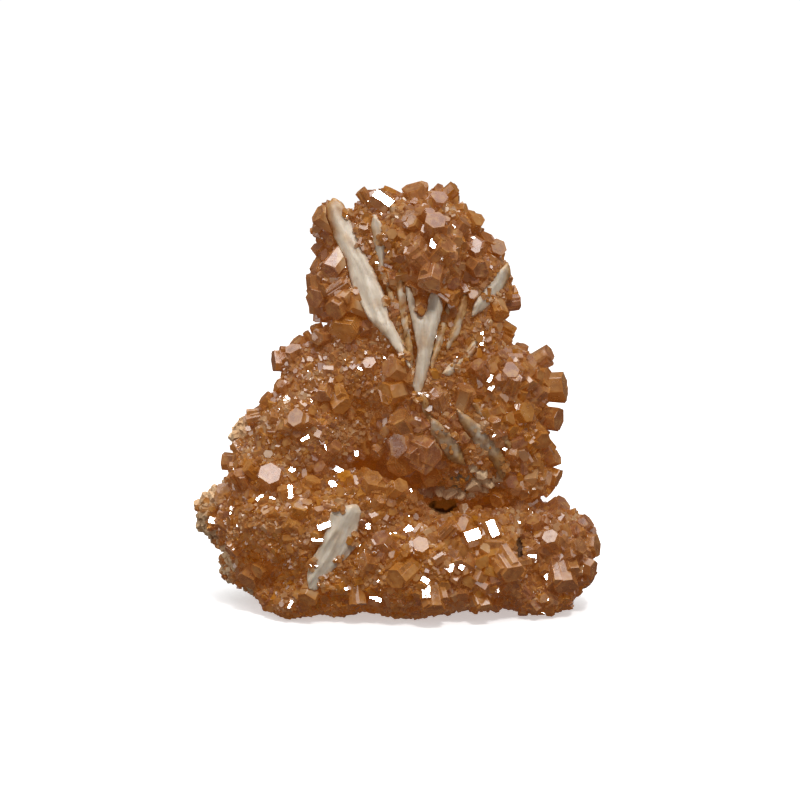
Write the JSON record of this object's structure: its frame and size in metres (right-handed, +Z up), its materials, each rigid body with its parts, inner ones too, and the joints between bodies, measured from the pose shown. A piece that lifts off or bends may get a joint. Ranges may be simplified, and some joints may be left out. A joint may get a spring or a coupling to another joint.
{
  "type": "mineral specimen",
  "caption": "Free-standing cabinet specimen: stout six-sided vanadinite prisms crusting fanned barite blades, on a rock foot with a small flat spot to rest on.",
  "frame": {"origin": "on the flat spot under the rock foot, where the specimen rests", "axes": "+Z up through the head, -Y out of the front where the barite blades fan out, +X to the viewer's right"},
  "size_m": [0.0657, 0.0404, 0.0692],
  "materials": {
    "vanadinite": "adamantine orange-brown crystal faces, translucent at the edges",
    "barite": "pale cream barite, satin, faintly mottled along its length",
    "rock": "dull tan broken rock"
  },
  "bodies": {
    "root": {"vanadinite_crust": "vanadinite", "rock_foot": "rock", "barite_blade_long": "barite", "barite_blade_slim": "barite", "barite_blade_forked": "barite", "barite_blade_right": "barite", "barite_blade_small": "barite", "barite_blade_low": "barite", "barite_blade_low_right": "barite", "barite_blade_foot": "barite", "barite_blade_back_tall": "barite", "barite_blade_back_left": "barite", "barite_blade_back_right": "barite"}
  },
  "joints": []
}
